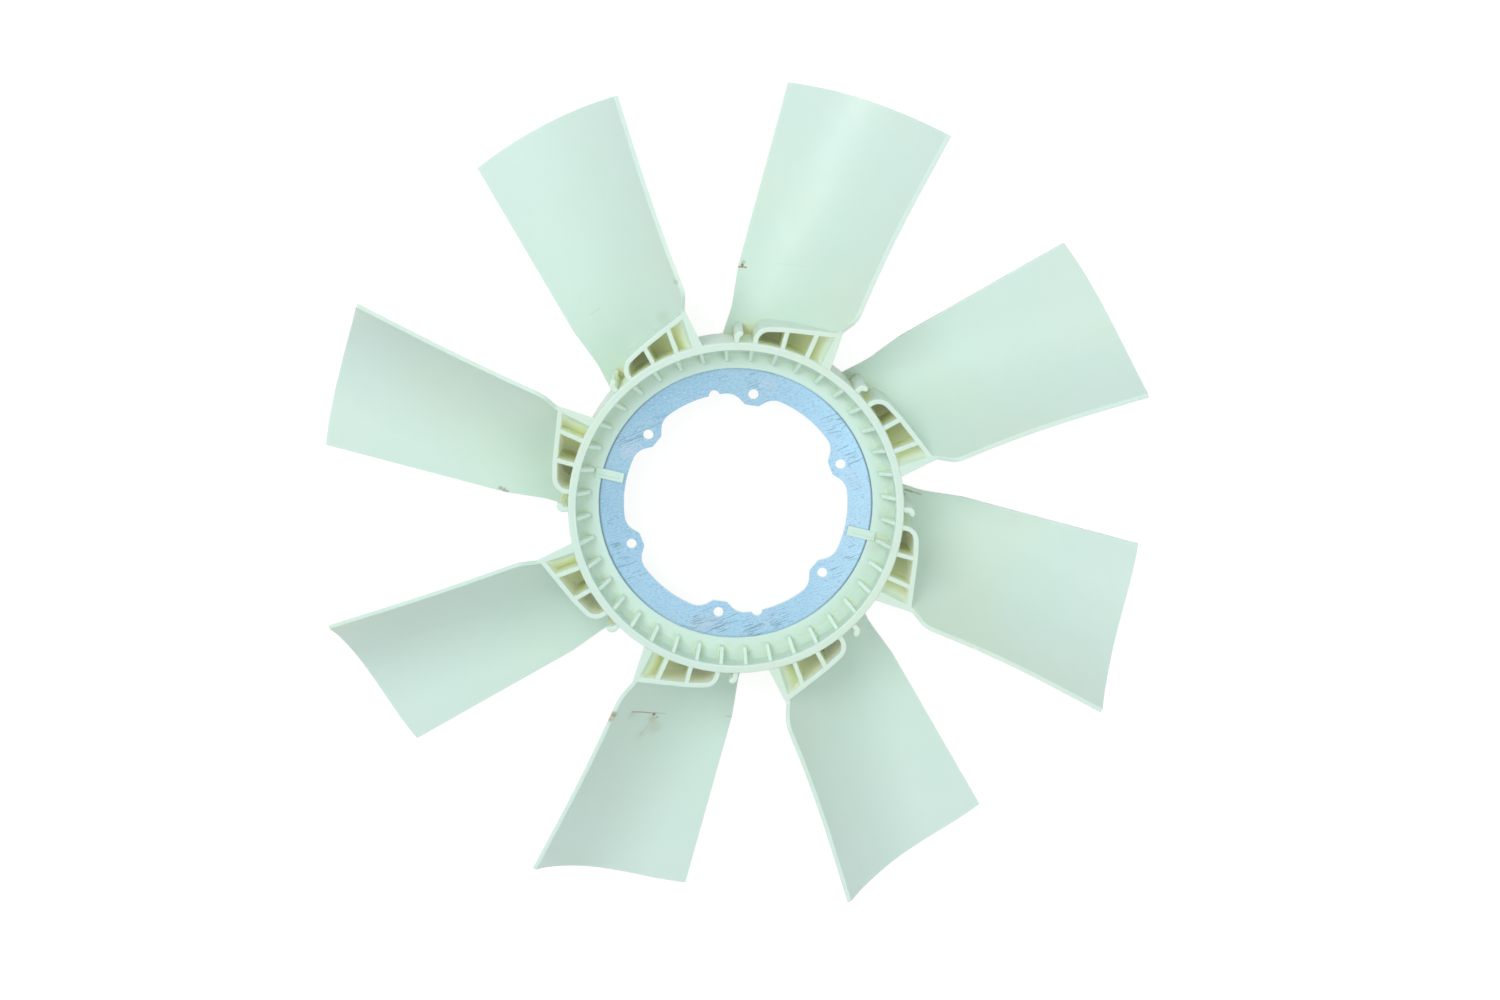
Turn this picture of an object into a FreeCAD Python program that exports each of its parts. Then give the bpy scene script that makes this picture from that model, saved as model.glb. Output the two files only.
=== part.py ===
"""Axial fan impeller: a one-piece moulding with eight cambered blades around a steel mounting ring.

The axis of the fan is Z, and the front is +Z. The origin is the centre of the bolt circle, on the
steel's front face. Clock angles are counted clockwise from +Y, as seen from the front. All sizes
are in millimetres and all angles in degrees.
"""
import FreeCAD, Part
import math
import os
from FreeCAD import Vector

# Blades
blade_count = 8
tip_radius = 375.5
blade_axis_angle = 18.4            # clock angle of the first blade's own x axis
blade_thickness = 3.3

# Section of the blade's concave face: a flat at the rear, then two arcs that climb to the front edge.
# It runs straight from the drum to the tip, at a lean to the blade's x axis.
blade_lean = 8.5
lean_pivot = 280.0                 # along the blade's x axis
flat_end_offset = 47.2             # from the blade's x axis, where the first arc starts
camber_radius = 86.0
camber_turn = 45.0                 # angle that the first arc turns through
front_camber_radius = 190.0
front_camber_turn = 30.0           # carries the second arc past the front edge

# Front edge of the blade: reaches are outwards from the drum, heights are above the steel's front face
front_neck_reach = 29.6            # flush with the pockets up to here
front_neck_radius = 5.0
front_shoulder_reach = 44.2
front_shoulder_height = 42.5
front_shoulder_radius = 14.0
front_hollow = 262.0               # along the blade's x axis
front_hollow_height = 33.0
front_hollow_radius = 600.0
front_tip_height = 39.4

# Rear edge of the blade: reaches are outwards from the drum, offsets are sideways from the x axis
rear_shoulder_reach = 51.2
rear_shoulder_offset = 63.3
rear_tip_offset = 72.9
rear_neck_reach = 14.2
rear_neck_offset = 57.2
rear_neck_radius = 60.0

# Drum, with the flat ring at its front
drum_radius = 148.8
ring_width = 7.0
ring_height = 29.4                 # above the steel's front face
drum_depth = 80.5                  # from the ring's front to the rear rim
rim_width = 5.0
rim_chamfer = 0.7
floor_splay = 6.0                  # slope between the floor and the wall

# Web and lips that hold the steel ring
recess_width = 19.0                # from the drum's wall to the lip
lip_thickness = 1.3
lip_chamfer = 0.5
web_thickness = 2.5                # behind the steel
bedding_width = 12.2               # how far the steel's rim goes into the plastic

# Gussets of the front and rear recesses
gusset_count = 40
gusset_first_angle = 5.51
gusset_thickness = 3.3
gusset_length = 12.2               # from the drum's wall inwards
gusset_toe = 4.5                   # height of the inner end above the floor
gusset_drop = 2.6                  # below the ring's front, at the drum's wall
toe_chamfer = 1.0
rear_gusset_count = 10

# Two tongues over the steel
tongue_angle = 103.5
tongue_margin = 2.6                # from its end to the steel's inner edge
tongue_width = 9.0
tongue_height = 2.2
tongue_rounding = 0.6
tongue_ridge_width = 2.6
tongue_ridge_height = 0.4

# Pockets at the root of each blade
pocket_drop = 0.8                  # below the ring's front
pocket_start_angle = 5.7           # clock angles for the first blade
pocket_rib_angles = (15.9, 24.6)
pocket_corner_reach = 10.4         # corner, bend and end of the outer wall, outwards from the drum
pocket_corner_radius = 14.0
pocket_bend_reach = 18.5
pocket_bend_offset = 9.7
pocket_bend_radius = 150.0
pocket_end_reach = 29.2
pocket_end_offset = 41.8
pocket_wall = 3.9
pocket_rib = 3.4
pocket_draft = 1.4                 # how much a pocket narrows on each side down to its floor

# Hook beside each pocket
hook_angle = 0.3
hook_thickness = 3.3
hook_length = 9.2                  # outwards from the drum
hook_curl_radius = 3.2             # to the middle of its wall
hook_curl_angle = 95.0

# Steel mounting ring
steel_thickness = 4.0
bolt_count = 6
bolt_circle_radius = 100.4         # the ring's inner edge runs through the holes' centres
bolt_hole_radius = 4.5
bolt_first_angle = 9.07
lobe_reach = 10.0                  # from the bolt circle inwards
lobe_end_width = 12.2
lobe_flank_angle = 38.0            # between the flank and the lobe's end
lobe_end_rounding = 2.2
lobe_root_rounding = 16.0
notch_radius = 4.8
notch_depth = 4.3                  # from the ring's inner edge
notch_from_bolt = -20.0            # clock angle from the first bolt hole

# Worked out from the sizes above
wall_radius = drum_radius - ring_width
lip_radius = wall_radius - recess_width
rim_height = ring_height - drum_depth
flat_height = rim_height + blade_thickness
steel_outer_radius = lip_radius + bedding_width
steel_inner_radius = bolt_circle_radius
rear_floor = -steel_thickness - web_thickness
pocket_height = ring_height - pocket_drop
blade_pitch = 360.0 / blade_count
root_cut_radius = drum_radius - rim_width / 2
beyond = 20.0                      # how far shapes run past what they cut or are cut by
section_start = wall_radius - 2 * beyond
section_reach = rear_tip_offset - flat_end_offset + beyond
front_angle = camber_turn + front_camber_turn
axis = Vector(0, 0, 1)
origin = Vector(0, 0, 0)


def clock_point(radius, angle, height=0.0):
    turn = math.radians(angle)
    return Vector(radius * math.sin(turn), radius * math.cos(turn), height)


def blade_point(radius, angle, height=0.0):
    """The same place in the first blade's own frame: x outwards, y towards its rear edge."""
    turn = math.radians(blade_axis_angle - angle)
    return Vector(radius * math.cos(turn), radius * math.sin(turn), height)


def turned(shape, angle):
    """A copy of the shape, turned clockwise about the axis."""
    copy = shape.copy()
    copy.rotate(origin, axis, -angle)
    return copy


def rounded_wire(corners):
    """Closed wire through corners, each given as a point and its rounding radius."""
    arcs = []
    for i, (point, radius) in enumerate(corners):
        back = (corners[i - 1][0] - point).normalize()
        ahead = (corners[(i + 1) % len(corners)][0] - point).normalize()
        half = back.getAngle(ahead) / 2
        reach = radius / math.tan(half)
        middle = point + (back + ahead).normalize() * (radius / math.sin(half) - radius)
        arcs.append((point + back * reach, middle, point + ahead * reach, radius))
    edges = []
    for i, (entry, middle, leave, radius) in enumerate(arcs):
        if radius > 0:
            edges.append(Part.Arc(entry, middle, leave).toShape())
        following = arcs[(i + 1) % len(arcs)][0]
        if leave.distanceToPoint(following) > 1e-6:
            edges.append(Part.LineSegment(leave, following).toShape())
    return Part.Wire(edges)


def prism(corners, low, high):
    """Upright solid over a rounded outline that is given in the plane z = 0."""
    face = Part.Face(rounded_wire(corners))
    face.translate(Vector(0, 0, low))
    return face.extrude(Vector(0, 0, high - low))


def revolved(corners):
    """Solid of revolution about Z from a rounded outline of points (radius, 0, z)."""
    face = Part.Face(rounded_wire(corners))
    return face.revolve(origin, axis, 360)


# Hub


def hub_body():
    """Drum, web and the two lips, with the groove for the steel's rim."""
    outline = [
        ((lip_radius, 0), 0),
        ((lip_radius, lip_thickness - lip_chamfer), 0),
        ((lip_radius + lip_chamfer, lip_thickness), 0),
        ((wall_radius - floor_splay, lip_thickness), 0),
        ((wall_radius, lip_thickness + floor_splay), 0),
        ((wall_radius, ring_height - rim_chamfer), 0),
        ((wall_radius + rim_chamfer, ring_height), 0),
        ((drum_radius - rim_chamfer, ring_height), 0),
        ((drum_radius, ring_height - rim_chamfer), 0),
        ((drum_radius, rim_height), 0),
        ((drum_radius - rim_width, rim_height), 0),
        ((wall_radius, rear_floor), 0),
        ((lip_radius, rear_floor), 0),
        ((lip_radius, -steel_thickness), 0),
        ((steel_outer_radius, -steel_thickness), 0),
        ((steel_outer_radius, 0), 0),
    ]
    return revolved([(Vector(r, 0, z), rounding) for (r, z), rounding in outline])


def gusset(floor, heel):
    """One gusset along +X, from its toe on the web up to the drum's wall."""
    inner = wall_radius - gusset_length
    side = math.copysign(1.0, heel)
    root = wall_radius + rim_width / 2
    bed = floor - side * lip_thickness / 2
    toe = floor + side * gusset_toe
    profile = Part.Face(Part.makePolygon([
        Vector(inner, 0, bed), Vector(inner, 0, toe), Vector(wall_radius, 0, heel),
        Vector(root, 0, heel), Vector(root, 0, bed), Vector(inner, 0, bed)]))
    profile.translate(Vector(0, -gusset_thickness / 2, 0))
    return profile.extrude(Vector(0, gusset_thickness, 0))


def narrow_toe(rib):
    """The same gusset with the upright edges of its inner end cut off."""
    half = gusset_thickness / 2
    inner = wall_radius - gusset_length
    outline = [
        (Vector(inner, -half + toe_chamfer, 0), 0),
        (Vector(inner + toe_chamfer, -half, 0), 0),
        (Vector(drum_radius, -half, 0), 0),
        (Vector(drum_radius, half, 0), 0),
        (Vector(inner + toe_chamfer, half, 0), 0),
        (Vector(inner, half - toe_chamfer, 0), 0),
    ]
    return rib.common(prism(outline, -beyond, ring_height))


def gussets():
    front = narrow_toe(gusset(lip_thickness, ring_height - gusset_drop))
    rear = gusset(rear_floor, rim_height + gusset_drop)
    ribs = []
    for rib, count in ((front, gusset_count), (rear, rear_gusset_count)):
        for k in range(count):
            ribs.append(turned(rib, gusset_first_angle - 90.0 + k * 360.0 / count))
    return ribs


def tongue():
    """Bar that lies on the steel and points at the axis, along +X, with a low ridge."""
    inner = steel_inner_radius + tongue_margin
    root = lip_radius + bedding_width / 2
    bar = Part.makeBox(root - inner, tongue_width, tongue_height, Vector(inner, -tongue_width / 2, 0))
    rim = [edge for edge in bar.Edges if edge.BoundBox.ZMin > tongue_height - 1e-6
           and edge.BoundBox.XMin < root - 1e-6]
    bar = bar.makeFillet(tongue_rounding, rim)
    ridge = Part.makeBox(root - inner - tongue_width / 2, tongue_ridge_width, tongue_ridge_height,
                         Vector(inner + tongue_width / 2, -tongue_ridge_width / 2, tongue_height))
    return bar.fuse(ridge)


def tongues():
    return [turned(tongue(), tongue_angle - 90.0 + half) for half in (0, 180)]


# Blade, in its own frame


def section_point(angle, depth):
    """Point of the section, at an angle from its flat and at a depth under the concave face."""
    turn = math.radians(camber_turn)
    centre = Vector(0, flat_end_offset, flat_height + camber_radius)
    radius = camber_radius
    if angle > camber_turn:
        step = front_camber_radius - camber_radius
        centre = centre + Vector(0, math.sin(turn), math.cos(turn)) * step
        radius = front_camber_radius
    turn = math.radians(angle)
    return centre - Vector(0, math.sin(turn), math.cos(turn)) * (radius + depth)


def section_line(depth):
    """Flat and two tangent arcs at a depth under the concave face, from rear to front."""
    flat_end = section_point(0, depth)
    bend = section_point(camber_turn, depth)
    front = section_point(front_angle, depth)
    half = camber_turn / 2
    last = (camber_turn + front_angle) / 2
    return [
        Part.LineSegment(flat_end + Vector(0, section_reach, 0), flat_end).toShape(),
        Part.Arc(flat_end, section_point(half, depth), bend).toShape(),
        Part.Arc(bend, section_point(last, depth), front).toShape(),
    ]


def swept(upper, lower):
    """Solid between two depths under the concave face, from within the drum to past the tip."""
    above = section_line(upper)
    below = section_line(lower)
    ends = [Part.LineSegment(above[i].Vertexes[j].Point, below[i].Vertexes[j].Point).toShape()
            for i, j in ((0, 0), (-1, -1))]
    face = Part.Face(Part.Wire(Part.__sortEdges__(above + ends + below)))
    face.translate(Vector(section_start, 0, 0))
    solid = face.extrude(Vector(tip_radius, 0, 0))
    solid.rotate(Vector(lean_pivot, 0, 0), axis, -blade_lean)
    return solid


def front_edge_cut():
    """What is taken off along the front edge, as seen from the side."""
    top = ring_height + 4 * beyond
    shoulder = drum_radius + front_shoulder_reach
    inside = wall_radius - 2 * beyond
    outside = tip_radius + beyond
    outline = [
        (Vector(inside, 0, pocket_height), 0),
        (Vector(drum_radius + front_neck_reach, 0, pocket_height), front_neck_radius),
        (Vector(shoulder, 0, front_shoulder_height), front_shoulder_radius),
        (Vector(front_hollow, 0, front_hollow_height), front_hollow_radius),
        (Vector(outside, 0, front_tip_height), 0),
        (Vector(outside, 0, top), 0),
        (Vector(inside, 0, top), 0),
    ]
    face = Part.Face(rounded_wire(outline))
    face.translate(Vector(0, -wall_radius, 0))
    return face.extrude(Vector(0, 2 * wall_radius, 0))


def rear_edge_cut():
    """What is taken off along the rear edge, as seen from the front."""
    low = rim_height - 2 * beyond
    outer = rear_tip_offset + 4 * beyond
    inside = wall_radius - 2 * beyond
    shoulder = drum_radius + rear_shoulder_reach
    slope = (rear_tip_offset - rear_shoulder_offset) / (tip_radius - shoulder)
    outline = [
        (Vector(tip_radius + beyond, outer, 0), 0),
        (Vector(tip_radius + beyond, rear_tip_offset + slope * beyond, 0), 0),
        (Vector(shoulder, rear_shoulder_offset, 0), 0),
        (Vector(drum_radius + rear_neck_reach, rear_neck_offset, 0), rear_neck_radius),
        (Vector(inside, rear_neck_offset, 0), 0),
        (Vector(inside, outer, 0), 0),
    ]
    return prism(outline, low, 0)


def blade():
    low = rim_height - 2 * beyond
    envelope = Part.makeCylinder(tip_radius, -2 * low, Vector(0, 0, low))
    return swept(0, blade_thickness).common(envelope)


def neck():
    """Thickening under the blade's front edge: it runs straight out from the drum, without the lean."""
    end = Vector(drum_radius + front_neck_reach, -pocket_end_offset, 0)
    below_blade = swept(blade_thickness / 2, 2 * drum_depth)
    straight = swept(-beyond, blade_thickness)
    straight.rotate(end, axis, blade_lean)
    length = end.x - section_start
    box = Part.makeBox(length, 2 * tip_radius, drum_depth + beyond,
                       Vector(section_start, -2 * tip_radius + flat_end_offset, rim_height))
    return below_blade.common(straight).common(box)


def pocket_outline():
    """Outside of the pocket's wall, closed behind the front edge and within the drum."""
    start = blade_point(wall_radius, pocket_start_angle)
    direction = start.normalize()
    first = direction * (wall_radius - beyond)
    corner = direction * ((drum_radius + pocket_corner_reach) / direction.x)
    end = Vector(drum_radius + pocket_end_reach, -pocket_end_offset, 0)
    bend = Vector(drum_radius + pocket_bend_reach, pocket_bend_offset, 0)
    past_end = end + (end - bend).normalize() * beyond
    return [
        (first, 0),
        (corner, pocket_corner_radius),
        (bend, pocket_bend_radius),
        (past_end, 0),
        (Vector(wall_radius - beyond, past_end.y, 0), 0),
    ]


def radial_bar(angle, width, length):
    """Flat bar along a radius, in the plane z = 0, from the axis outwards."""
    direction = blade_point(1.0, angle)
    side = Vector(-direction.y, direction.x, 0) * (width / 2)
    far = direction * length
    return Part.Face(Part.makePolygon([side, far + side, far - side, -side, side]))


def pocket_openings():
    """The three pockets, each narrowing from its mouth to its floor."""
    outline = Part.Face(rounded_wire(pocket_outline()))
    inside = outline.makeOffset2D(-pocket_wall)
    drum = Part.Face(Part.Wire(Part.makeCircle(drum_radius, origin, axis)))
    inside = inside.cut(drum)
    for angle in pocket_rib_angles:
        inside = inside.cut(radial_bar(angle, pocket_rib, tip_radius))
    openings = []
    for face in inside.Faces:
        mouth = face.OuterWire
        floor = face.makeOffset2D(-pocket_draft).OuterWire
        mouth.translate(Vector(0, 0, ring_height + beyond))
        floor.translate(Vector(0, 0, rim_height - beyond))
        openings.append(Part.makeLoft([mouth, floor], True, True))
    return openings


def hook_profile():
    """Stem on the drum with a curl that ends round, in the plane z = 0."""
    half = hook_thickness / 2
    bend = drum_radius + hook_length - half - hook_curl_radius

    def on_curl(radius, angle):
        turn = math.radians(angle)
        return Vector(bend + radius * math.cos(turn), radius * math.sin(turn) - hook_curl_radius, 0)

    outer = hook_curl_radius + half
    inner = hook_curl_radius - half
    last = 90.0 - hook_curl_angle
    middle = (90.0 + last) / 2
    tangent = Vector(math.sin(math.radians(last)), -math.cos(math.radians(last)), 0)
    tip = on_curl(hook_curl_radius, last) + tangent * half
    return Part.Face(Part.Wire([
        Part.LineSegment(Vector(root_cut_radius, half, 0), on_curl(outer, 90.0)).toShape(),
        Part.Arc(on_curl(outer, 90.0), on_curl(outer, middle), on_curl(outer, last)).toShape(),
        Part.Arc(on_curl(outer, last), tip, on_curl(inner, last)).toShape(),
        Part.Arc(on_curl(inner, last), on_curl(inner, middle), on_curl(inner, 90.0)).toShape(),
        Part.LineSegment(on_curl(inner, 90.0), Vector(root_cut_radius, -half, 0)).toShape(),
        Part.LineSegment(Vector(root_cut_radius, -half, 0), Vector(root_cut_radius, half, 0)).toShape(),
    ]))


def hook():
    profile = hook_profile()
    profile.rotate(origin, axis, blade_axis_angle - hook_angle)
    low = rim_height - beyond
    profile.translate(Vector(0, 0, low))
    return profile.extrude(Vector(0, 0, pocket_height - low))


def root_walls():
    """Pocket walls and hook, standing on the blade."""
    low = rim_height - beyond
    block = prism(pocket_outline(), low, pocket_height)
    walls = block.cut(pocket_openings()).fuse(hook())
    return walls.cut(swept(blade_thickness / 2, 2 * drum_depth))


def blade_unit():
    """One blade with its neck, pocket walls and hook, cut back to run into the drum's wall."""
    low = rim_height - 2 * beyond
    unit = blade().fuse([root_walls(), neck()])
    bore = Part.makeCylinder(root_cut_radius, -2 * low, Vector(0, 0, low))
    return unit.cut([front_edge_cut(), rear_edge_cut(), bore])


def impeller_moulding():
    unit = blade_unit()
    unit.rotate(origin, axis, 90.0 - blade_axis_angle)
    blades = [turned(unit, k * blade_pitch) for k in range(blade_count)]
    return hub_body().fuse(gussets() + tongues() + blades)


# Steel ring


def lobe(angle):
    """Plate that carries one bolt hole, from its narrow end out into the ring."""
    end = bolt_circle_radius - lobe_reach
    root = bolt_circle_radius + lobe_reach / 2
    half = lobe_end_width / 2
    flare = (root - end) / math.tan(math.radians(lobe_flank_angle))
    outline = [
        (Vector(-half, end, 0), 0),
        (Vector(half, end, 0), 0),
        (Vector(half + flare, root, 0), 0),
        (Vector(-half - flare, root, 0), 0),
    ]
    return turned(prism(outline, -steel_thickness, 0), angle)


def lobe_corners(plate, near, far):
    """Upright edges of the plate between two distances from the axis."""
    found = []
    for edge in plate.Edges:
        box = edge.BoundBox
        distance = math.hypot(edge.CenterOfMass.x, edge.CenterOfMass.y)
        if box.ZLength > steel_thickness / 2 and box.XLength < 1e-6 and near < distance < far:
            found.append(edge)
    return found


def mounting_ring():
    """Flat ring with six bolt lobes, their holes and two small notches."""
    low = Vector(0, 0, -steel_thickness)
    plate = Part.makeCylinder(steel_outer_radius, steel_thickness, low)
    plate = plate.cut(Part.makeCylinder(steel_inner_radius, steel_thickness, low))
    angles = [bolt_first_angle + k * 360.0 / bolt_count for k in range(bolt_count)]
    plate = plate.fuse([lobe(angle) for angle in angles]).removeSplitter()
    split = bolt_circle_radius - lobe_reach / 2
    roots = lobe_corners(plate, split, steel_inner_radius + 1e-3)
    plate = plate.makeFillet(lobe_root_rounding, roots)
    ends = lobe_corners(plate, 0, split)
    plate = plate.makeFillet(lobe_end_rounding, ends)
    holes = [Part.makeCylinder(bolt_hole_radius, steel_thickness,
                               low + clock_point(bolt_circle_radius, angle)) for angle in angles]
    notch_angle = bolt_first_angle + notch_from_bolt
    notch_centre = steel_inner_radius + notch_depth - notch_radius
    notches = [Part.makeCylinder(notch_radius, steel_thickness,
                                 low + clock_point(notch_centre, notch_angle + half))
               for half in (0, 180)]
    return plate.cut(holes + notches)


def main():
    os.makedirs("parts", exist_ok=True)
    for name, shape in (("impeller_moulding", impeller_moulding()), ("mounting_ring", mounting_ring())):
        print(name, shape.isValid(), len(shape.Solids), round(shape.Volume), shape.BoundBox)
        shape.exportStep("parts/" + name + ".step")


main()
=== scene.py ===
"""Looks of the axial fan impeller: its finishes, its rounded hooks, the light, the floor and the camera.

Everything is in metres in the part's own frame: the fan's axis is Z, the front is +Z, and the origin is
the centre of the bolt circle. Clock angles are in degrees, clockwise from +Y, as seen from the front.
A pair of limits goes into Graph.ramp: nothing changes before the first, and the change is complete at
the second. Where a second pair goes in with it, those are the values at the two limits.
"""
import math

import bpy
from mathutils import Matrix, Vector
from mathutils.bvhtree import BVHTree


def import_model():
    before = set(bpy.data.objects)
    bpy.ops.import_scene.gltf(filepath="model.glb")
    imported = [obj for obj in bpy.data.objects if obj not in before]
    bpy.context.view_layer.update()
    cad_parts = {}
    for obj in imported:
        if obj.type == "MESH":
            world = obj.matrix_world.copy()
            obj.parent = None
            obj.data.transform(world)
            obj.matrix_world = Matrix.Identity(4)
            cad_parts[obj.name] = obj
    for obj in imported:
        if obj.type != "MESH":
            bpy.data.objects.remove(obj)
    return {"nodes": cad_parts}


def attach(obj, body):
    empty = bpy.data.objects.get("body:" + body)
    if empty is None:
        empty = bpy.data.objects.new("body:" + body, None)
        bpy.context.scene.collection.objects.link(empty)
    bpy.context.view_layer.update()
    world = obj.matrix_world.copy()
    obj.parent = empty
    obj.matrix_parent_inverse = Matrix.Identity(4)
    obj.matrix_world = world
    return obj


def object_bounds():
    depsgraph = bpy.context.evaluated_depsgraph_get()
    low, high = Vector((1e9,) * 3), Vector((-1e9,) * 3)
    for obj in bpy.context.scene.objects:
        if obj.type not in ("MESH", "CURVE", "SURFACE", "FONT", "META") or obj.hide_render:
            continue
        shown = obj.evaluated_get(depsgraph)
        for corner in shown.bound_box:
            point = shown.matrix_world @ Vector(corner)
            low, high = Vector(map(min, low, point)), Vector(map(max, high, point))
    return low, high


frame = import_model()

cad_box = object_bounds()

# Sizes of the part that the finishes and the hooks refer to
BLADE_COUNT = 8
TIP_RADIUS = 0.3755
DRUM_RADIUS = 0.1488
WALL_RADIUS = 0.1418               # inner side of the drum's wall
RING_FRONT = 0.0294
LIP_RADIUS = 0.1228
BEDDING = 0.0122                   # how far the steel's rim goes into the plastic
STEEL_THICKNESS = 0.004
FLOOR_SPLAY_TOP = 0.0073           # where the slope at the foot of the drum's wall ends
REAR_RIM = cad_box[0][2]

# Colours of the plastic, as linear red, green and blue
PLASTIC = (0.640, 0.800, 0.725, 1)
PLASTIC_OUTER = (0.645, 0.800, 0.750, 1)
PLASTIC_WARM = (0.680, 0.790, 0.630, 1)
# Painted shade: a shaded tint where the walls close in
PLASTIC_SHADED = (0.660, 0.830, 0.700, 1)
# Painted light: the gusset tops lighter, as they catch more light
PLASTIC_GUSSET_LIT = (0.770, 0.990, 0.850, 1)
# Painted shade in the pockets and tight corners, an olive tint from the mouth to the depth
PLASTIC_POCKET_MOUTH_SHADE = (0.830, 0.990, 0.740, 1)
PLASTIC_POCKET_DEEP_SHADE = (0.905, 1.000, 0.540, 1)
# Painted light: the bluer tone of the recess floor where it is open
PLASTIC_RECESS_LIT = (0.570, 0.800, 0.730, 1)
# Painted highlight on the edges
PLASTIC_EDGE_HIGHLIGHT = (0.770, 0.930, 0.895, 1)
STAIN_DARK = (0.090, 0.070, 0.030, 1)
STAIN_BROWN = (0.370, 0.255, 0.105, 1)
STAIN_GREY = (0.330, 0.330, 0.250, 1)

# Colours of the steel
STEEL = (0.280, 0.486, 0.636, 1)
# Painted light: the steel lighter to the right and towards the bottom
STEEL_PAINTED_LIGHT = (0.432, 0.693, 0.900, 1)
STEEL_DARK = (0.193, 0.353, 0.496, 1)
STEEL_SCRATCH = (0.163, 0.284, 0.370, 1)
STEEL_PALE = (0.418, 0.600, 0.722, 1)
STEEL_HAZE = (0.452, 0.566, 0.670, 1)
# Painted highlight on the upright cut faces
STEEL_CUT_HIGHLIGHT = (0.800, 0.920, 0.970, 1)
STEEL_SHADOW = (0.129, 0.249, 0.310, 1)


def clock_point(radius, angle):
    """Point at this radius and clock angle, in the plane of the bolt circle."""
    turn = math.radians(angle)
    return Vector((radius * math.sin(turn), radius * math.cos(turn), 0.0))


# Node building


class Graph:
    """The node tree of a material or a world, with one short method for each kind of node."""

    def __init__(self, name, kind=bpy.data.materials):
        self.owner = kind.new(name)
        self.owner.use_nodes = True
        self.tree = self.owner.node_tree
        self.tree.nodes.clear()
        self.output_kind = "World" if kind == bpy.data.worlds else "Material"
        geometry = self.add("ShaderNodeNewGeometry")
        self.place = geometry.outputs["Position"]
        self.normal = geometry.outputs["Normal"]
        self.flat = self.vector("MULTIPLY", self.place, (1, 1, 0))
        self.radius = self.vector("LENGTH", self.flat, output="Value")

    def add(self, kind, **settings):
        node = self.tree.nodes.new(kind)
        for key, value in settings.items():
            setattr(node, key, value)
        return node

    def link(self, source, socket):
        """A number, a vector or another node's output goes into a socket."""
        if isinstance(source, bpy.types.NodeSocket):
            self.tree.links.new(source, socket)
        elif source is not None:
            socket.default_value = source

    def math(self, operation, a, b=None):
        node = self.add("ShaderNodeMath", operation=operation)
        self.link(a, node.inputs[0])
        self.link(b, node.inputs[1])
        return node.outputs[0]

    def vector(self, operation, a, b=None, output=0):
        node = self.add("ShaderNodeVectorMath", operation=operation)
        self.link(a, node.inputs[0])
        self.link(b, node.inputs[1])
        return node.outputs[output]

    def split(self, vector):
        node = self.add("ShaderNodeSeparateXYZ")
        self.link(vector, node.inputs[0])
        return node.outputs

    def ramp(self, value, low, high, start=0.0, end=1.0):
        """Smooth step from start to end while the value goes from low to high."""
        node = self.add("ShaderNodeMapRange", interpolation_type="SMOOTHSTEP")
        for socket, entry in zip(node.inputs, (value, low, high, start, end)):
            self.link(entry, socket)
        return node.outputs[0]

    def noise(self, scale, detail=3.0, roughness=0.5, place=None):
        node = self.add("ShaderNodeTexNoise")
        self.link(self.place if place is None else place, node.inputs["Vector"])
        node.inputs["Scale"].default_value = scale
        node.inputs["Detail"].default_value = detail
        node.inputs["Roughness"].default_value = roughness
        return node.outputs["Fac"]

    def streaks(self, angle, squeeze, detail=3.0, roughness=0.5):
        """Noise squeezed along, across and in depth, so that it runs in streaks along the angle."""
        turn = self.add("ShaderNodeVectorRotate", rotation_type="Z_AXIS")
        self.link(self.place, turn.inputs["Vector"])
        turn.inputs["Angle"].default_value = -math.radians(angle)
        return self.noise(1.0, detail, roughness, self.vector("MULTIPLY", turn.outputs[0], squeeze))

    def mix(self, share, a, b):
        node = self.add("ShaderNodeMix", data_type="RGBA")
        self.link(share, node.inputs["Factor"])
        self.link(a, node.inputs[6])
        self.link(b, node.inputs[7])
        return node.outputs[2]

    def bump(self, height, strength, distance, below=None):
        node = self.add("ShaderNodeBump")
        node.inputs["Strength"].default_value = strength
        node.inputs["Distance"].default_value = distance
        self.link(height, node.inputs["Height"])
        self.link(below, node.inputs["Normal"])
        return node.outputs[0]

    def finish(self, shader):
        output = self.add("ShaderNodeOutput" + self.output_kind)
        self.tree.links.new(shader.outputs[0], output.inputs["Surface"])
        return self.owner


# Ragged spots and streaks

SPOT_RAGGED = 1.2                  # these four are shares of the mark's own size
SPOT_BORDER = (1.7, 0.7)
STREAK_RAGGED = 1.0
STREAK_BORDER = (1.5, 0.8)
RAGGED_ROUGHNESS = 0.7


def spot(graph, centre, size, noise_scale):
    """Mask of a ragged spot, as seen from the front: 1 at its centre, 0 past its edge."""
    away = graph.vector("DISTANCE", graph.flat, tuple(centre), output="Value")
    noise = graph.noise(noise_scale, detail=4.0, roughness=RAGGED_ROUGHNESS)
    ragged = graph.math("MULTIPLY", noise, size * SPOT_RAGGED)
    return graph.ramp(graph.math("ADD", away, ragged), *[size * share for share in SPOT_BORDER])


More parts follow.
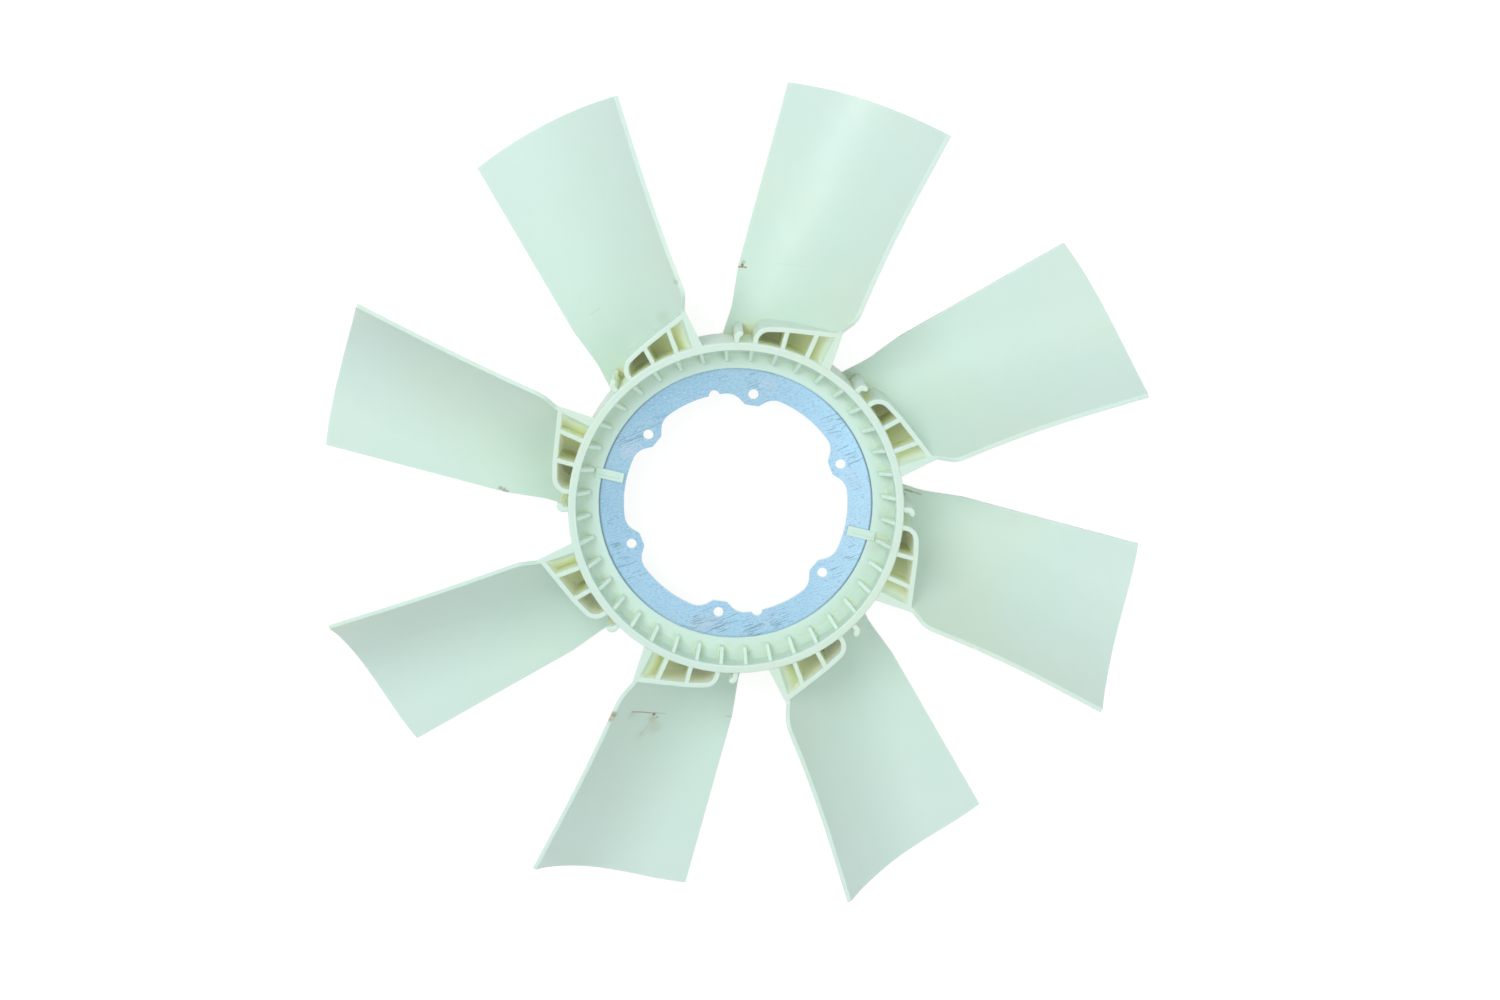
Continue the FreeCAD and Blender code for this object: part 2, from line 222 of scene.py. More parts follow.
def streak(graph, start, end, width, noise_scale):
    """Mask of a ragged line between two points, as seen from the front."""
    run = end - start
    offset = graph.vector("SUBTRACT", graph.flat, tuple(start))
    along = graph.vector("DOT_PRODUCT", offset, tuple(run / run.length_squared), output="Value")
    held = graph.math("MINIMUM", graph.math("MAXIMUM", along, 0.0), 1.0)
    scale = graph.add("ShaderNodeVectorMath", operation="SCALE")
    graph.link(tuple(run), scale.inputs[0])
    graph.link(held, scale.inputs["Scale"])
    away = graph.vector("DISTANCE", offset, scale.outputs[0], output="Value")
    noise = graph.noise(noise_scale, roughness=RAGGED_ROUGHNESS)
    ragged = graph.math("MULTIPLY", noise, width * STREAK_RAGGED)
    return graph.ramp(graph.math("ADD", away, ragged), *[width * share for share in STREAK_BORDER])


# Marks on the plastic

# Spots: place as radius and clock angle, then size, colour and strength
SPOTS = [
    ((0.2130, 200.7), 0.0022, STAIN_DARK, 0.90),
    ((0.2160, 199.5), 0.0014, STAIN_DARK, 0.55),
    ((0.2175, 200.6), 0.0060, STAIN_BROWN, 0.30),
    ((0.2260, 199.4), 0.0095, STAIN_BROWN, 0.18),
    ((0.2350, 201.8), 0.0065, STAIN_BROWN, 0.12),
    ((0.2140, 206.0), 0.0060, STAIN_BROWN, 0.12),
    ((0.2137, 210.9), 0.0042, STAIN_BROWN, 0.80),
    ((0.2190, 211.0), 0.0036, STAIN_BROWN, 0.55),
    ((0.2103, 1.85), 0.0020, STAIN_DARK, 0.95),
    ((0.2130, 2.15), 0.0026, STAIN_BROWN, 0.45),
    ((0.2150, 271.9), 0.0028, STAIN_GREY, 0.75),
    ((0.2110, 271.4), 0.0030, STAIN_GREY, 0.80),
    ((0.2085, 271.0), 0.0022, STAIN_GREY, 0.80),
    ((0.1335, 94.5), 0.0100, STAIN_BROWN, 0.12),
    ((0.1360, 103.7), 0.0110, STAIN_BROWN, 0.15),
    ((0.1290, 107.5), 0.0100, STAIN_BROWN, 0.12),
    ((0.1791, 339.0), 0.0090, STAIN_BROWN, 0.12),
    ((0.2092, 345.6), 0.0035, STAIN_GREY, 0.35),
]
# Streaks: both ends as radius and clock angle, then width, colour and strength
STREAKS = [
    ((0.2115, 206.4), (0.2119, 201.6), 0.0008, STAIN_BROWN, 0.85),
    ((0.2119, 201.6), (0.2119, 197.9), 0.0009, STAIN_BROWN, 0.30),
    ((0.2115, 206.4), (0.2190, 206.4), 0.0014, STAIN_BROWN, 0.12),
    ((0.2246, 201.1), (0.2343, 201.9), 0.0013, STAIN_BROWN, 0.18),
    ((0.2086, 0.9), (0.2084, 2.8), 0.0010, STAIN_BROWN, 0.90),
    ((0.1560, 88.4), (0.1620, 89.1), 0.0012, STAIN_GREY, 0.85),
    ((0.1620, 89.1), (0.1707, 90.1), 0.0011, STAIN_BROWN, 0.50),
    ((0.2102, 182.6), (0.2108, 179.0), 0.0008, STAIN_BROWN, 0.30),
    ((0.2150, 9.8), (0.2190, 16.2), 0.0006, STAIN_GREY, 0.10),
    ((0.2109, 321.7), (0.2107, 324.7), 0.0006, STAIN_GREY, 0.18),
]
SPOT_NOISE_SCALE = 350.0
STREAK_NOISE_SCALE = 500.0
MARKED_SLOPES = (0.05, 0.25)       # height of the normal: what faces the front is marked


def marks(graph, colour):
    """Stains, specks and scuffs on what faces the front."""
    facing = graph.ramp(graph.split(graph.normal)[2], *MARKED_SLOPES)
    masks = []
    for place, size, stain, strength in SPOTS:
        masks.append((spot(graph, clock_point(*place), size, SPOT_NOISE_SCALE), stain, strength))
    for start, end, width, stain, strength in STREAKS:
        line = streak(graph, clock_point(*start), clock_point(*end), width, STREAK_NOISE_SCALE)
        masks.append((line, stain, strength))
    for mask, stain, strength in masks:
        shown = graph.math("MULTIPLY", mask, facing)
        colour = graph.mix(graph.math("MULTIPLY", shown, strength), colour, stain)
    return colour


# Plastic

# Closeness is 0 in the open and 1 where the walls all round are much nearer than its reach
CLOSENESS_REACH = 0.055
CLOSENESS_SAMPLES = 8
EDGE_SAMPLES = 4
EDGE_ROUNDING = 0.0010
# Painted highlight on the edges, where the rounded normal turns away from the true one
EDGE_HIGHLIGHT_STRAIGHTNESS = (0.99, 0.90)   # cosine between the rounded normal and the true one
EDGE_HIGHLIGHT_SHARE = 0.50
BORDER = 0.001                     # half the width of a soft border between two finishes
WARM_SCALE = 6.0
WARM_NOISE = (0.42, 0.72)
WARM_SHARE = 0.35
SHADED_CLOSENESS = (0.25, 0.65)
# Painted olive shade in the pockets and tight corners
POCKET_SHADE_CLOSENESS = (0.48, 0.70)
POCKET_SHADE_HEIGHTS = (0.024, 0.008)    # from the colour of the mouth to that of the depth
CORNER_SHADE_CLOSENESS = (0.60, 0.90)
CORNER_SHADE_SHARE = 0.45
# Painted light tone on the open floor of the recess
RECESS_LIT_CLOSENESS = (0.55, 0.20)
RECESS_BORDER = (WALL_RADIUS - 0.0005, WALL_RADIUS - 0.0030)
RECESS_LIT_SHARE = 0.60
GUSSET_BORDER = (WALL_RADIUS, WALL_RADIUS - 0.0008)
GUSSET_SLOPES = (0.15, 0.35)       # height of the normal

# How far light goes into the plastic
LIP_BORDER = (0.0045, 0.0090)      # height above or below the middle of the steel
SCATTER_SHARE = 0.85
GUSSET_SCATTER_SHARE = 0.20
SCATTER_CLOSENESS = (0.42, 0.72)
SCATTER_DEPTHS = (0.0020, 0.0300)
REFRACTION = 1.5

# Gloss and unevenness of the moulded surface
ROUGH_SCALE = 40.0
ROUGH_NOISE = (0.3, 0.7)
ROUGHNESSES = (0.36, 0.50)
WAVE_SCALE = 9.0
WAVE_STRENGTH = 0.25
WAVE_HEIGHT = 0.004
GRAIN_SCALE = 900.0
GRAIN_STRENGTH = 0.10
GRAIN_HEIGHT = 0.0002


def gusset_tops(graph):
    """Mask of the sloping tops of the front gussets, inside the drum's wall, which get painted light and
    less scattering.
    """
    height = graph.split(graph.place)[2]
    high = graph.ramp(height, FLOOR_SPLAY_TOP - BORDER, FLOOR_SPLAY_TOP + BORDER)
    inside = graph.ramp(graph.radius, *GUSSET_BORDER)
    facing = graph.ramp(graph.split(graph.normal)[2], *GUSSET_SLOPES)
    return graph.math("MULTIPLY", graph.math("MULTIPLY", high, inside), facing)


def pocket_shade_mask(graph, closed):
    """Mask of the painted shade: the pockets at the blades' roots, and weaker the tight corners
    anywhere.
    """
    at_blades = graph.ramp(graph.radius, DRUM_RADIUS - BORDER, DRUM_RADIUS + BORDER)
    inside = graph.math("MULTIPLY", graph.ramp(closed, *POCKET_SHADE_CLOSENESS), at_blades)
    corners = graph.ramp(closed, *CORNER_SHADE_CLOSENESS, end=CORNER_SHADE_SHARE)
    return graph.math("MAXIMUM", inside, corners)


def lit_recess_mask(graph, closed):
    """Mask of the painted light tone: the open floor of the recess inside the drum's wall, where it is
    least closed in.
    """
    lit_open_floor = graph.ramp(closed, *RECESS_LIT_CLOSENESS, end=RECESS_LIT_SHARE)
    return graph.math("MULTIPLY", lit_open_floor, graph.ramp(graph.radius, *RECESS_BORDER))


def plastic_colour(graph, soft_normal, closed, tops):
    """Pale mint and warm in patches, with painted light and shade: a painted highlight on edges, painted
    light on the gusset tops and the open recess floor, and a painted olive shade where light hardly
    reaches.
    """
    outer = graph.ramp(graph.radius, DRUM_RADIUS, TIP_RADIUS)
    colour = graph.mix(outer, PLASTIC, PLASTIC_OUTER)
    patches = graph.ramp(graph.noise(WARM_SCALE, detail=2.0), *WARM_NOISE, end=WARM_SHARE)
    colour = graph.mix(patches, colour, PLASTIC_WARM)
    colour = graph.mix(graph.ramp(closed, *SHADED_CLOSENESS), colour, PLASTIC_SHADED)
    # Painted shade: olive tint in the pockets and tight corners, by closeness and depth
    low = graph.ramp(graph.split(graph.place)[2], *POCKET_SHADE_HEIGHTS)
    pocket_shade_colour = graph.mix(low, PLASTIC_POCKET_MOUTH_SHADE, PLASTIC_POCKET_DEEP_SHADE)
    colour = graph.mix(pocket_shade_mask(graph, closed), colour, pocket_shade_colour)
    # Painted light: bluer tone on the open recess floor
    colour = graph.mix(lit_recess_mask(graph, closed), colour, PLASTIC_RECESS_LIT)
    # Painted highlight along the edges
    straight = graph.vector("DOT_PRODUCT", soft_normal, graph.normal, output="Value")
    colour = graph.mix(graph.ramp(straight, *EDGE_HIGHLIGHT_STRAIGHTNESS, end=EDGE_HIGHLIGHT_SHARE), colour, PLASTIC_EDGE_HIGHLIGHT)
    # Painted light on the upward-facing gusset tops
    colour = graph.mix(tops, colour, PLASTIC_GUSSET_LIT)
    return marks(graph, colour)


def scattering(graph, shader, closed, tops):
    """Light goes into the plastic, deeper in narrow places, and not into the thin lips on the steel."""
    height = graph.math("ADD", graph.split(graph.place)[2], STEEL_THICKNESS / 2)
    past_rim = graph.ramp(graph.radius, LIP_RADIUS + BEDDING, WALL_RADIUS)
    past_lip = graph.ramp(graph.math("ABSOLUTE", height), *LIP_BORDER)
    thick = graph.math("MAXIMUM", past_rim, past_lip)
    share = graph.ramp(tops, 0.0, 1.0, SCATTER_SHARE, GUSSET_SCATTER_SHARE)
    graph.link(graph.math("MULTIPLY", thick, share), shader.inputs["Subsurface Weight"])
    shader.inputs["Subsurface Radius"].default_value = (1.0, 1.0, 1.0)
    depth = graph.ramp(closed, *SCATTER_CLOSENESS, *SCATTER_DEPTHS)
    graph.link(depth, shader.inputs["Subsurface Scale"])


def plastic():
    """Natural plastic, satin, slightly wavy and with a fine grain."""
    graph = Graph("moulded_plastic")
    soft = graph.add("ShaderNodeBevel", samples=EDGE_SAMPLES)
    soft.inputs["Radius"].default_value = EDGE_ROUNDING
    soft_normal = soft.outputs["Normal"]
    reach = graph.add("ShaderNodeAmbientOcclusion", samples=CLOSENESS_SAMPLES)
    reach.inputs["Distance"].default_value = CLOSENESS_REACH
    closed = graph.math("SUBTRACT", 1.0, reach.outputs["AO"])
    tops = gusset_tops(graph)
    shader = graph.add("ShaderNodeBsdfPrincipled")
    graph.link(plastic_colour(graph, soft_normal, closed, tops), shader.inputs["Base Color"])
    scattering(graph, shader, closed, tops)
    shader.inputs["IOR"].default_value = REFRACTION
    rough = graph.ramp(graph.noise(ROUGH_SCALE, detail=4.0, roughness=0.6), *ROUGH_NOISE, *ROUGHNESSES)
    graph.link(rough, shader.inputs["Roughness"])
    wavy = graph.bump(graph.noise(WAVE_SCALE, detail=1.0), WAVE_STRENGTH, WAVE_HEIGHT, soft_normal)
    grain = graph.bump(graph.noise(GRAIN_SCALE, detail=2.0), GRAIN_STRENGTH, GRAIN_HEIGHT, wavy)
    graph.link(grain, shader.inputs["Normal"])
    return graph.finish(shader)


# Steel

# Angles of the rolled grain and of the strokes, rising to the right, and how their noise is squeezed
GRAIN_ANGLE = 17.0
LONG_STROKE_ANGLE = 19.0
SHORT_STROKE_ANGLE = 22.0
FINE_SQUEEZE = (60.0, 1500.0, 60.0)
SPECKLE_SQUEEZE = (330.0, 760.0, 330.0)
LONG_STROKE_SQUEEZE = (26.0, 720.0, 26.0)
SHORT_STROKE_SQUEEZE = (75.0, 900.0, 75.0)

# Rubbed places, with many strokes, as place and size
RUBBED = [
    ((0.113, 300.0), 0.015), ((0.108, 308.0), 0.013), ((0.113, 52.0), 0.016), ((0.112, 66.0), 0.015),
    ((0.110, 82.0), 0.012), ((0.114, 113.0), 0.017), ((0.112, 124.0), 0.013), ((0.114, 160.0), 0.018),
    ((0.113, 172.0), 0.018), ((0.113, 188.0), 0.020), ((0.114, 198.0), 0.014), ((0.114, 243.0), 0.016),
    ((0.114, 252.0), 0.012), ((0.111, 262.0), 0.010), ((0.111, 8.0), 0.013), ((0.105, 318.0), 0.010),
]
RUBBED_NOISE_SCALE = 90.0
STROKE_THRESHOLDS = (0.76, 0.60)   # of the noise, in plain places and in rubbed ones
STROKE_BORDER = (0.0, 0.06)        # above the threshold

# Long single scratches, both ends as radius and clock angle
SCRATCHES = [
    ((0.1189, 299.4), (0.1059, 309.6)),
    ((0.1059, 309.6), (0.0988, 319.1)),
    ((0.1193, 297.9), (0.1034, 307.0)),
    ((0.1044, 318.6), (0.1014, 323.1)),
    ((0.1140, 352.3), (0.1174, 356.2)),
    ((0.1223, 11.6), (0.1226, 17.0)),
    ((0.1216, 235.4), (0.1149, 234.6)),
    ((0.1118, 236.0), (0.1047, 235.0)),
    ((0.1080, 233.0), (0.1020, 232.3)),
    ((0.1208, 241.8), (0.1142, 241.0)),
    ((0.1145, 199.2), (0.1075, 194.8)),
    ((0.1227, 193.9), (0.1101, 184.7)),
    ((0.1101, 184.7), (0.1077, 178.9)),
    ((0.1053, 184.4), (0.1003, 178.8)),
    ((0.1028, 197.1), (0.0970, 193.1)),
    ((0.1224, 204.5), (0.1199, 197.9)),
    ((0.1049, 71.3), (0.1114, 70.4)),
    ((0.1114, 70.4), (0.1211, 69.9)),
    ((0.1065, 70.2), (0.1173, 70.5)),
    ((0.1072, 44.5), (0.1232, 48.2)),
    ((0.1025, 62.0), (0.1129, 62.4)),
    ((0.1049, 52.4), (0.1151, 55.1)),
]
SCRATCH_WIDTH = 0.0006
SCRATCH_NOISE_SCALE = 700.0
SCRATCH_STRENGTH = 0.75
ALL_SCRATCHES_STRENGTH = 0.80

# Pale hazy places, as place, size and strength
HAZY = [
    ((0.1060, 296.8), 0.011, 0.75), ((0.1190, 209.2), 0.006, 0.55), ((0.1150, 196.3), 0.014, 0.70),
    ((0.1110, 190.0), 0.012, 0.55), ((0.1120, 14.6), 0.011, 0.60), ((0.1120, 165.0), 0.012, 0.35),
    ((0.1060, 78.0), 0.010, 0.30),
]
HAZE_NOISE_SCALE = 120.0

# Where the steel is brighter, paler or darker, as limits of a place or a noise, and how strongly.
# Brighter to the right and towards the bottom is painted light, the dark line along the lip is a painted
# shadow and the pale cut faces are a painted highlight; the paler and darker noise is the sheet's own
# tone.
PAINTED_LIGHT_TO_RIGHT = (0.0, LIP_RADIUS)
PAINTED_LIGHT_BELOW = (0.030, -0.090)
PAINTED_LIGHT_BELOW_SHARE = 0.50
PALE_SCALE = 14.0
PALE_NOISE = (0.35, 0.70)
PALE_SHARE = 0.45
FINE_NOISE = (0.35, 0.75)
FINE_SHARE = 0.32
DARK_SPECKLE = (0.51, 0.68)
DARK_SPECKLE_SHARE = 0.75
PALE_SPECKLE = (0.49, 0.34)
PALE_SPECKLE_SHARE = 0.68
SHADOW_BORDER = (LIP_RADIUS - 0.0022, LIP_RADIUS - 0.0008)
SHADOW_SIDES = (0.050, 0.115)      # distance to the left or right of the axis
SHADOW_SHARES = (0.30, 0.95)
CUT_HIGHLIGHT_SLOPES = (0.60, 0.20)          # height of the normal, up or down

# Gloss and unevenness of the sheet
METAL_SHARE = 0.40
STEEL_ROUGH_NOISE = (0.3, 0.7)
STEEL_ROUGHNESSES = (0.38, 0.55)
ROLLED_STRENGTH = 0.25
ROLLED_HEIGHT = 0.0003


def strokes_and_scratches(graph):
    """Mask of the short strokes, dense in rubbed places, and of the long single scratches."""
    long_strokes = graph.streaks(LONG_STROKE_ANGLE, LONG_STROKE_SQUEEZE, detail=1.0)
    short_strokes = graph.streaks(SHORT_STROKE_ANGLE, SHORT_STROKE_SQUEEZE, detail=1.0)
    strokes = graph.math("MAXIMUM", long_strokes, short_strokes)
    rubbed = 0.0
    for place, size in RUBBED:
        mask = spot(graph, clock_point(*place), size, RUBBED_NOISE_SCALE)
        rubbed = graph.math("MAXIMUM", rubbed, mask)
    threshold = graph.ramp(rubbed, 0.0, 1.0, *STROKE_THRESHOLDS)
    scratches = graph.ramp(graph.math("SUBTRACT", strokes, threshold), *STROKE_BORDER)
    for start, end in SCRATCHES:
        line = streak(graph, clock_point(*start), clock_point(*end), SCRATCH_WIDTH, SCRATCH_NOISE_SCALE)
        scratches = graph.math("MAXIMUM", scratches, graph.math("MULTIPLY", line, SCRATCH_STRENGTH))
    return scratches


def lip_shadow(graph):
    """Mask of the dark line on the steel along the lip, stronger to the left and right."""
    aside = graph.math("ABSOLUTE", graph.split(graph.place)[0])
    strength = graph.ramp(aside, *SHADOW_SIDES, *SHADOW_SHARES)
    return graph.math("MULTIPLY", graph.ramp(graph.radius, *SHADOW_BORDER), strength)


def steel_colour(graph, fine, scratches):
    """Blue-grey zinc with haze and speckle, painted lighter on its right side and towards the bottom,
    with a painted shadow along the lip and a painted highlight on the cut edges.
    """
    x, y = graph.split(graph.place)[:2]
    # Painted light: lighter to the right and towards the bottom
    lit_to_right = graph.ramp(x, *PAINTED_LIGHT_TO_RIGHT)
    below = graph.ramp(y, *PAINTED_LIGHT_BELOW, end=PAINTED_LIGHT_BELOW_SHARE)
    colour = graph.mix(graph.math("MAXIMUM", lit_to_right, below), STEEL, STEEL_PAINTED_LIGHT)
    pale = graph.ramp(graph.noise(PALE_SCALE), *PALE_NOISE, end=PALE_SHARE)
    colour = graph.mix(pale, colour, STEEL_PALE)
    for place, size, strength in HAZY:
        mask = spot(graph, clock_point(*place), size, HAZE_NOISE_SCALE)
        colour = graph.mix(graph.math("MULTIPLY", mask, strength), colour, STEEL_HAZE)
    colour = graph.mix(graph.ramp(fine, *FINE_NOISE, end=FINE_SHARE), colour, STEEL_DARK)
    speckle = graph.streaks(GRAIN_ANGLE, SPECKLE_SQUEEZE, roughness=0.75)
    colour = graph.mix(graph.ramp(speckle, *DARK_SPECKLE, end=DARK_SPECKLE_SHARE), colour, STEEL_DARK)
    colour = graph.mix(graph.ramp(speckle, *PALE_SPECKLE, end=PALE_SPECKLE_SHARE), colour, STEEL_PALE)
    colour = graph.mix(graph.math("MULTIPLY", scratches, ALL_SCRATCHES_STRENGTH), colour, STEEL_SCRATCH)
    colour = graph.mix(lip_shadow(graph), colour, STEEL_SHADOW)
    # Painted highlight on the upright cut faces
    upright_highlight = graph.ramp(graph.math("ABSOLUTE", graph.split(graph.normal)[2]), *CUT_HIGHLIGHT_SLOPES)
    return graph.mix(upright_highlight, colour, STEEL_CUT_HIGHLIGHT)


def steel():
    """Galvanised sheet with a rolled grain and scratches roughly along it."""
    graph = Graph("galvanised_steel")
    fine = graph.streaks(GRAIN_ANGLE, FINE_SQUEEZE, roughness=0.60)
    shader = graph.add("ShaderNodeBsdfPrincipled")
    colour = steel_colour(graph, fine, strokes_and_scratches(graph))
    graph.link(colour, shader.inputs["Base Color"])
    shader.inputs["Metallic"].default_value = METAL_SHARE
    rough = graph.ramp(fine, *STEEL_ROUGH_NOISE, *STEEL_ROUGHNESSES)
    graph.link(rough, shader.inputs["Roughness"])
    graph.link(graph.bump(fine, ROLLED_STRENGTH, ROLLED_HEIGHT), shader.inputs["Normal"])
    return graph.finish(shader)


# Hooks beside the pockets: thicker and rounder than those of the solid, which they cover

HOOK_ANGLE = 0.3                   # clock angle of the first
HOOK_BEND = 0.15315                # radius where the stem ends and the curl begins
HOOK_START = DRUM_RADIUS - 0.001   # inside the drum's wall
HOOK_CURL_RADIUS = 0.0032          # to the middle of its wall
HOOK_LAST_ANGLE = -5.0             # where the curl ends, counted from the hook's outward direction
HOOK_HALF_WALL = 0.0024
HOOK_THROAT_RADIUS = 0.0030        # of the hollow between the stem and the end of the curl
HOOK_TOP = 0.0289                  # just above the top of the solid hook
HOOK_ROUNDING = 0.0014
HOOK_ROUNDING_STEPS = 3
HOOK_ARC_STEPS = 10
HOOK_SINK = 0.0012                 # into what it stands on
CLEAR_ABOVE = 0.01                 # over the drum's ring, where the search for the feet starts


def arc(centre, radius, first_angle, last_angle):
    """Points along an arc, both ends included. Angles are in degrees from the outward direction."""
    points = []
    for step in range(HOOK_ARC_STEPS + 1):
        turn = math.radians(first_angle + (last_angle - first_angle) * step / HOOK_ARC_STEPS)
        points.append((centre[0] + radius * math.cos(turn), centre[1] + radius * math.sin(turn)))
    return points


def hook_outline(half):
    """Points round a hook with this half wall, as pairs: outwards from the axis, and sideways.

    The stem runs into a curl with a round end, and a hollow arc leads from there back to the stem.
    """
    curl = (HOOK_BEND, -HOOK_CURL_RADIUS)
    outer = arc(curl, HOOK_CURL_RADIUS + half, 90.0, HOOK_LAST_ANGLE)
    end = arc(curl, HOOK_CURL_RADIUS, 90.0, HOOK_LAST_ANGLE)[-1]
    reach = HOOK_THROAT_RADIUS + HOOK_HALF_WALL
    lean = math.degrees(math.asin((reach + end[1]) / reach))
    throat = (end[0] - reach * math.cos(math.radians(lean)), -reach)
    round_end = arc(end, half, HOOK_LAST_ANGLE, lean - 180.0)[1:-1]
    inner = arc(throat, reach - half, lean, 90.0)
    return [(HOOK_START, half)] + outer + round_end + inner + [(HOOK_START, -half)]


def hook_levels():
    """Outlines and their heights, from the shoulder over the rounded top."""
    levels = []
    for step in range(HOOK_ROUNDING_STEPS + 1):
        turn = math.radians(90.0 * step / HOOK_ROUNDING_STEPS)
        half = HOOK_HALF_WALL - HOOK_ROUNDING * (1.0 - math.cos(turn))
        height = HOOK_TOP - HOOK_ROUNDING + HOOK_ROUNDING * math.sin(turn)
        levels.append((hook_outline(half), height))
    return levels


def placed(outline, clock):
    """An outline's points in the part's frame, for the hook at this clock angle."""
    outwards = clock_point(1.0, clock)
    sideways = clock_point(1.0, clock - 90.0)
    return [outwards * x + sideways * y for x, y in outline]


def foot_heights(surface, around):
    """Heights of the blade below the outline. Points over the drum or past the blade take the lowest.

    All of the blade there is behind the bolt circle, and the drum's ring is in front of it.
    """
    above = Vector((0, 0, RING_FRONT + CLEAR_ABOVE))
    hits = [surface.ray_cast(place + above, Vector((0, 0, -1)))[0] for place in around]
    lowest = min(hit.z for hit in hits if hit)
    return [hit.z if hit and hit.z < 0.0 else lowest for hit in hits]


def hook(surface, levels, clock, first):
    """Points and faces of one closed hook, whose points are numbered from first."""
    around = placed(levels[0][0], clock)
    heights = foot_heights(surface, around)
    points = [(place.x, place.y, height - HOOK_SINK) for place, height in zip(around, heights)]
    for outline, height in levels:
        points += [(place.x, place.y, height) for place in placed(outline, clock)]
    count = len(around)
    faces = [[first + n for n in range(count)]]
    for level in range(len(levels)):
        low = first + level * count
        high = low + count
        for n in range(count):
            after = (n + 1) % count
            faces.append([low + n, high + n, high + after, low + after])
    top = first + len(levels) * count
    faces.append([top + n for n in reversed(range(count))])
    return points, faces


def hooks(material):
    """The eight hooks as one piece, standing on the blades."""
    moulding = frame["nodes"]["impeller_moulding"]
    surface = BVHTree.FromObject(moulding, bpy.context.evaluated_depsgraph_get())
    levels = hook_levels()
    points = []
    faces = []
    for index in range(BLADE_COUNT):
        clock = HOOK_ANGLE + index * 360.0 / BLADE_COUNT
        more_points, more_faces = hook(surface, levels, clock, len(points))
        points += more_points
        faces += more_faces
    mesh = bpy.data.meshes.new("hooks")
    mesh.from_pydata(points, [], faces)
    mesh.materials.append(material)
    mesh.update()
    piece = bpy.data.objects.new("hooks", mesh)
    bpy.context.scene.collection.objects.link(piece)
    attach(piece, "root")


def paint_nodes(finishes):
    """Gives each node of the part its finish."""
    for name, material in finishes.items():
        for holder in frame["nodes"][name].material_slots:
            holder.material = material


# Floor, light and camera

FLOOR_WHITE = (0.90, 0.90, 0.90, 1)
FLOOR_GLOW = 0.86
FLOOR_SHADE = (0.22, 0.22, 0.22, 1)    # what the camera sees on top of the glow, shadows included
FLOOR_HALF_WIDTH = 12.0
WORLD_WHITE = (1.0, 1.0, 1.0, 1)
WORLD_STRENGTHS = (0.62, 1.0)          # as light on the object, and as the background that is seen
# Lamps: name, place, diameter and power. They aim at the origin.
LAMPS = [
    ("key", (-1.1, 1.2, 2.4), 1.8, 34.0),
    ("fill", (0.9, -0.4, 2.0), 1.2, 7.0),
]

# Camera of the photograph, as fitted to the eight equal blades
CAMERA_TILT = 10.36
CAMERA_PAN = 1.135
CAMERA_OFFSET = (0.01214, 0.00896, 2.05503)    # sideways, up and away from the centre of the drum's ring
FOCAL_PIXELS = 2323.25
IMAGE_WIDTH_PIXELS = 1500.0
SENSOR_WIDTH_MM = 36.0


def seen_directly(graph):
    """1 for rays from the camera, off a gloss or through glass, which see the white background."""
    path = graph.add("ShaderNodeLightPath")
    sharp = graph.math("MAXIMUM", path.outputs["Is Glossy Ray"], path.outputs["Is Transmission Ray"])
    return graph.math("MAXIMUM", path.outputs["Is Camera Ray"], sharp)


def floor_material():
    """White. The camera sees it near white, with the object's shadow on it."""
    graph = Graph("floor_white")
    plain = graph.add("ShaderNodeBsdfDiffuse")
    plain.inputs["Color"].default_value = FLOOR_WHITE
    glow = graph.add("ShaderNodeEmission")
    glow.inputs["Strength"].default_value = FLOOR_GLOW
    faint = graph.add("ShaderNodeBsdfDiffuse")
    faint.inputs["Color"].default_value = FLOOR_SHADE
    seen = graph.add("ShaderNodeAddShader")
    graph.link(glow.outputs[0], seen.inputs[0])
    graph.link(faint.outputs[0], seen.inputs[1])
    choice = graph.add("ShaderNodeMixShader")
    graph.link(seen_directly(graph), choice.inputs[0])
    graph.link(plain.outputs[0], choice.inputs[1])
    graph.link(seen.outputs[0], choice.inputs[2])
    return graph.finish(choice)


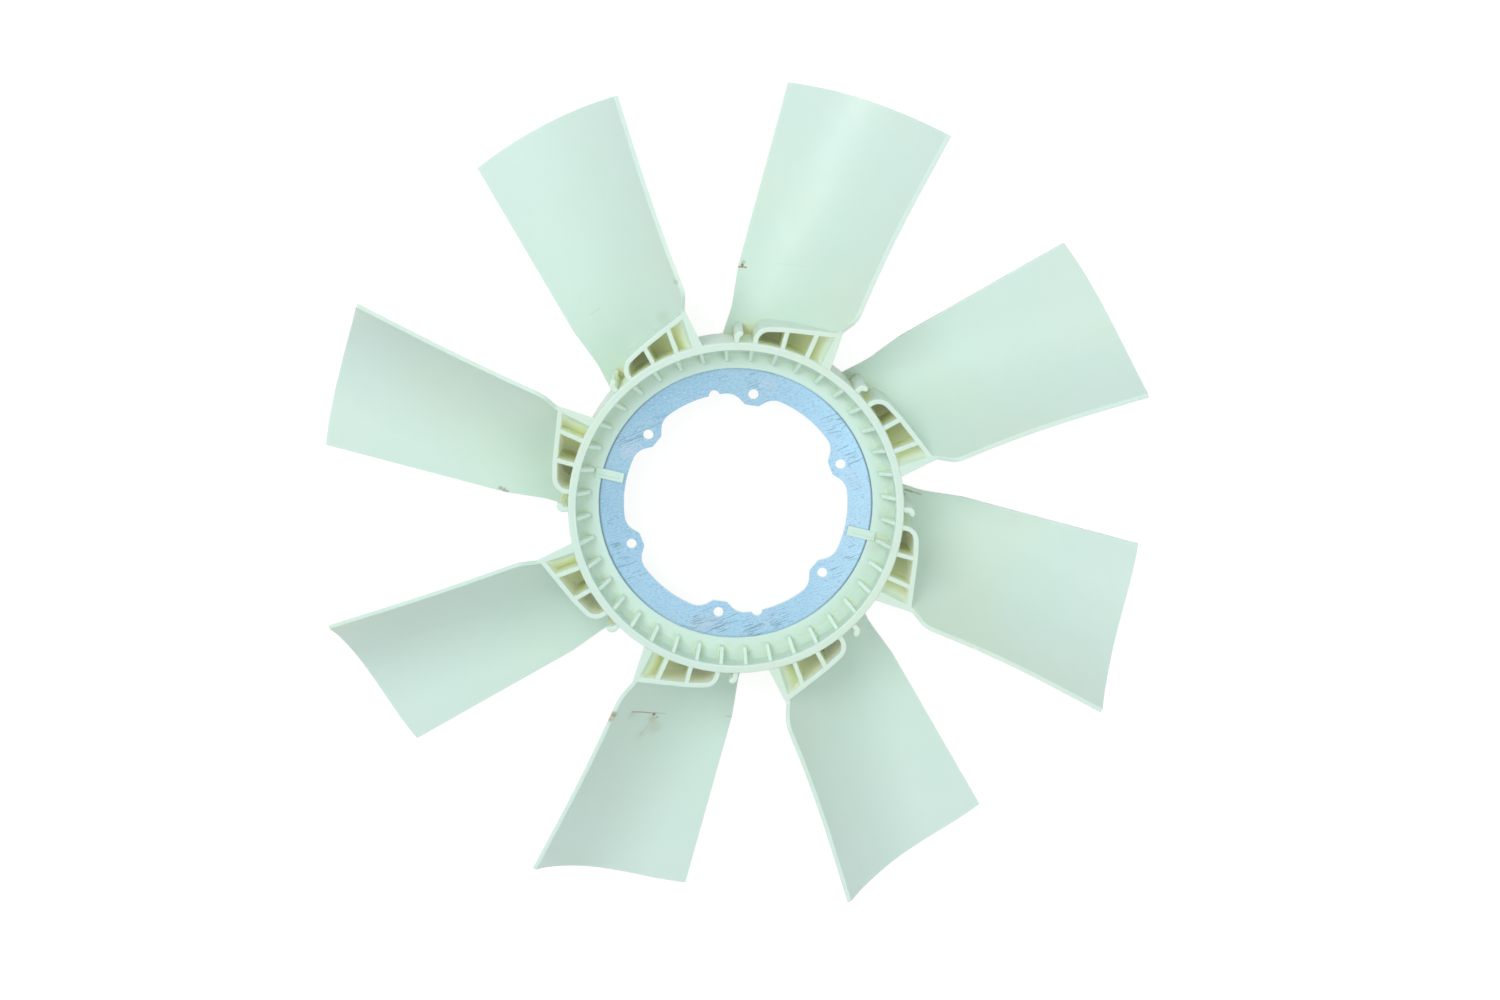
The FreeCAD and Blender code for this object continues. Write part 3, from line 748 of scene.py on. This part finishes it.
def floor():
    """Floor at the height of the drum's rear rim."""
    size = FLOOR_HALF_WIDTH
    corners = [(-size, -size), (size, -size), (size, size), (-size, size)]
    mesh = bpy.data.meshes.new("floor")
    mesh.from_pydata([(x, y, REAR_RIM) for x, y in corners], [], [(0, 1, 2, 3)])
    mesh.materials.append(floor_material())
    sheet = bpy.data.objects.new("floor", mesh)
    bpy.context.scene.collection.objects.link(sheet)


def lamp(name, place, diameter, power):
    """Round soft lamp, aimed at the origin."""
    data = bpy.data.lights.new(name, "AREA")
    data.shape = "DISK"
    data.size = diameter
    data.energy = power
    holder = bpy.data.objects.new(name, data)
    holder.location = place
    holder.rotation_euler = (-Vector(place)).to_track_quat("-Z", "Y").to_euler()
    bpy.context.scene.collection.objects.link(holder)


def world():
    """White all round, weaker as light than as background."""
    graph = Graph("studio", bpy.data.worlds)
    background = graph.add("ShaderNodeBackground")
    background.inputs["Color"].default_value = WORLD_WHITE
    strength = graph.ramp(seen_directly(graph), 0.0, 1.0, *WORLD_STRENGTHS)
    graph.link(strength, background.inputs["Strength"])
    bpy.context.scene.world = graph.finish(background)


def camera():
    """Camera in front of the fan, tilted and panned as in the photograph."""
    tilt = Matrix.Rotation(math.radians(CAMERA_TILT), 3, "X")
    pan = Matrix.Rotation(math.radians(CAMERA_PAN), 3, "Y")
    turn = (tilt @ pan).transposed()
    eye = turn @ Vector(CAMERA_OFFSET)
    eye.z += RING_FRONT
    data = bpy.data.cameras.new("camera")
    data.sensor_fit = "HORIZONTAL"
    data.sensor_width = SENSOR_WIDTH_MM
    data.lens = FOCAL_PIXELS / IMAGE_WIDTH_PIXELS * SENSOR_WIDTH_MM
    holder = bpy.data.objects.new("camera", data)
    holder.matrix_world = Matrix.Translation(eye) @ turn.to_4x4()
    bpy.context.scene.collection.objects.link(holder)
    bpy.context.scene.camera = holder


def main():
    bpy.context.scene.view_settings.view_transform = "Standard"
    camera()
    world()
    for entry in LAMPS:
        lamp(*entry)
    floor()
    finishes = {"impeller_moulding": plastic(), "mounting_ring": steel()}
    hooks(finishes["impeller_moulding"])
    paint_nodes(finishes)


main()
